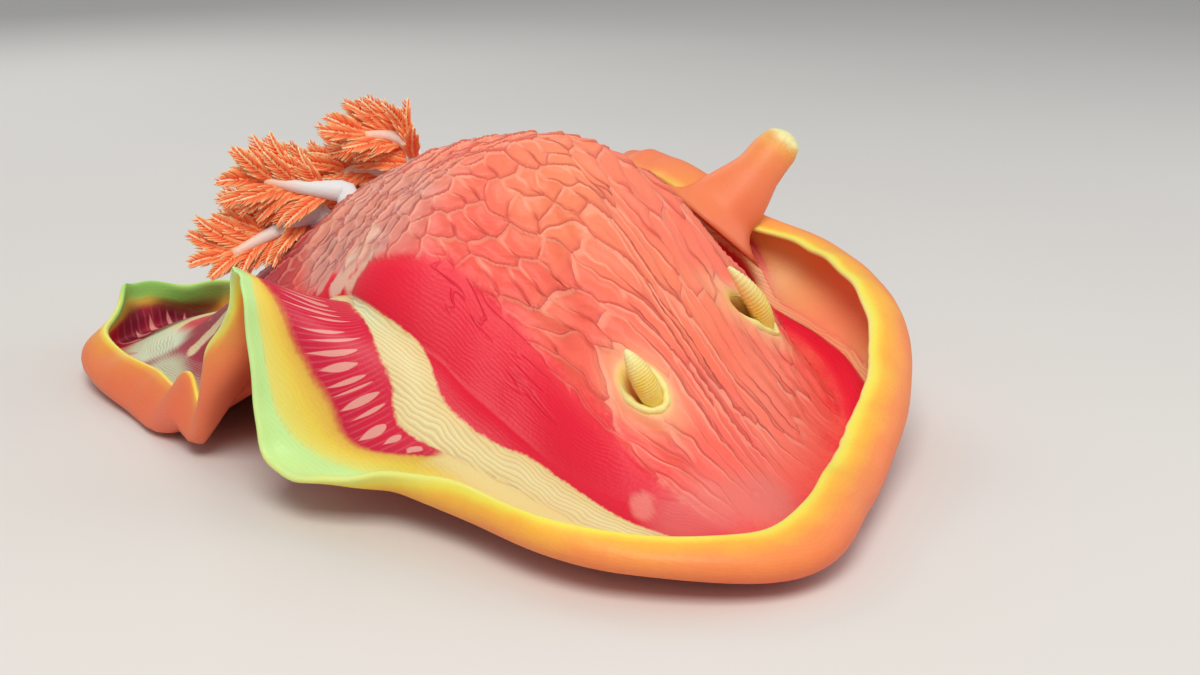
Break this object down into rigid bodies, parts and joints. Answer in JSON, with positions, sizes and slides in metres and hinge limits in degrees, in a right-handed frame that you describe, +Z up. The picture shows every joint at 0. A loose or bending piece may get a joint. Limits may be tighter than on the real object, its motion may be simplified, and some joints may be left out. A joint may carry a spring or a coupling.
{
  "type": "spanish dancer nudibranch",
  "caption": "Still life-size sea slug with a high hump, a waved and rolled mantle skirt, rhinophores in sheaths and branched gill plumes, crawling on a flat sole.",
  "frame": {"origin": "middle of the animal's outline on the floor under its sole", "axes": "+Z up, -Y ahead past the snout, +X the animal's left"},
  "size_m": [0.1733, 0.2761, 0.0867],
  "materials": {
    "back_flesh": "satin",
    "mantle_flesh": "satin",
    "foot_flesh": "satin",
    "rhinophore_flesh": "satin",
    "gill_flesh": "satin"
  },
  "bodies": {
    "root": {"back": "back_flesh", "head": "back_flesh", "rear_back": "back_flesh", "foot": "foot_flesh", "mantle_front_roll": "mantle_flesh", "mantle_left_front": "mantle_flesh", "mantle_left_lobe": "mantle_flesh", "mantle_left_rear": "mantle_flesh", "mantle_tail": "mantle_flesh", "mantle_right_rear": "mantle_flesh", "mantle_right_flap": "mantle_flesh", "mantle_right_front": "mantle_flesh", "oral_tentacle_L": "mantle_flesh", "oral_tentacle_R": "mantle_flesh", "rhinophore_L": "rhinophore_flesh", "rhinophore_R": "rhinophore_flesh", "rhinophore_sheath_L": "rhinophore_flesh", "rhinophore_sheath_R": "rhinophore_flesh", "gill_1": "gill_flesh", "gill_2": "gill_flesh", "gill_3": "gill_flesh", "gill_4": "gill_flesh", "gill_5": "gill_flesh", "gill_6": "gill_flesh"}
  },
  "joints": []
}
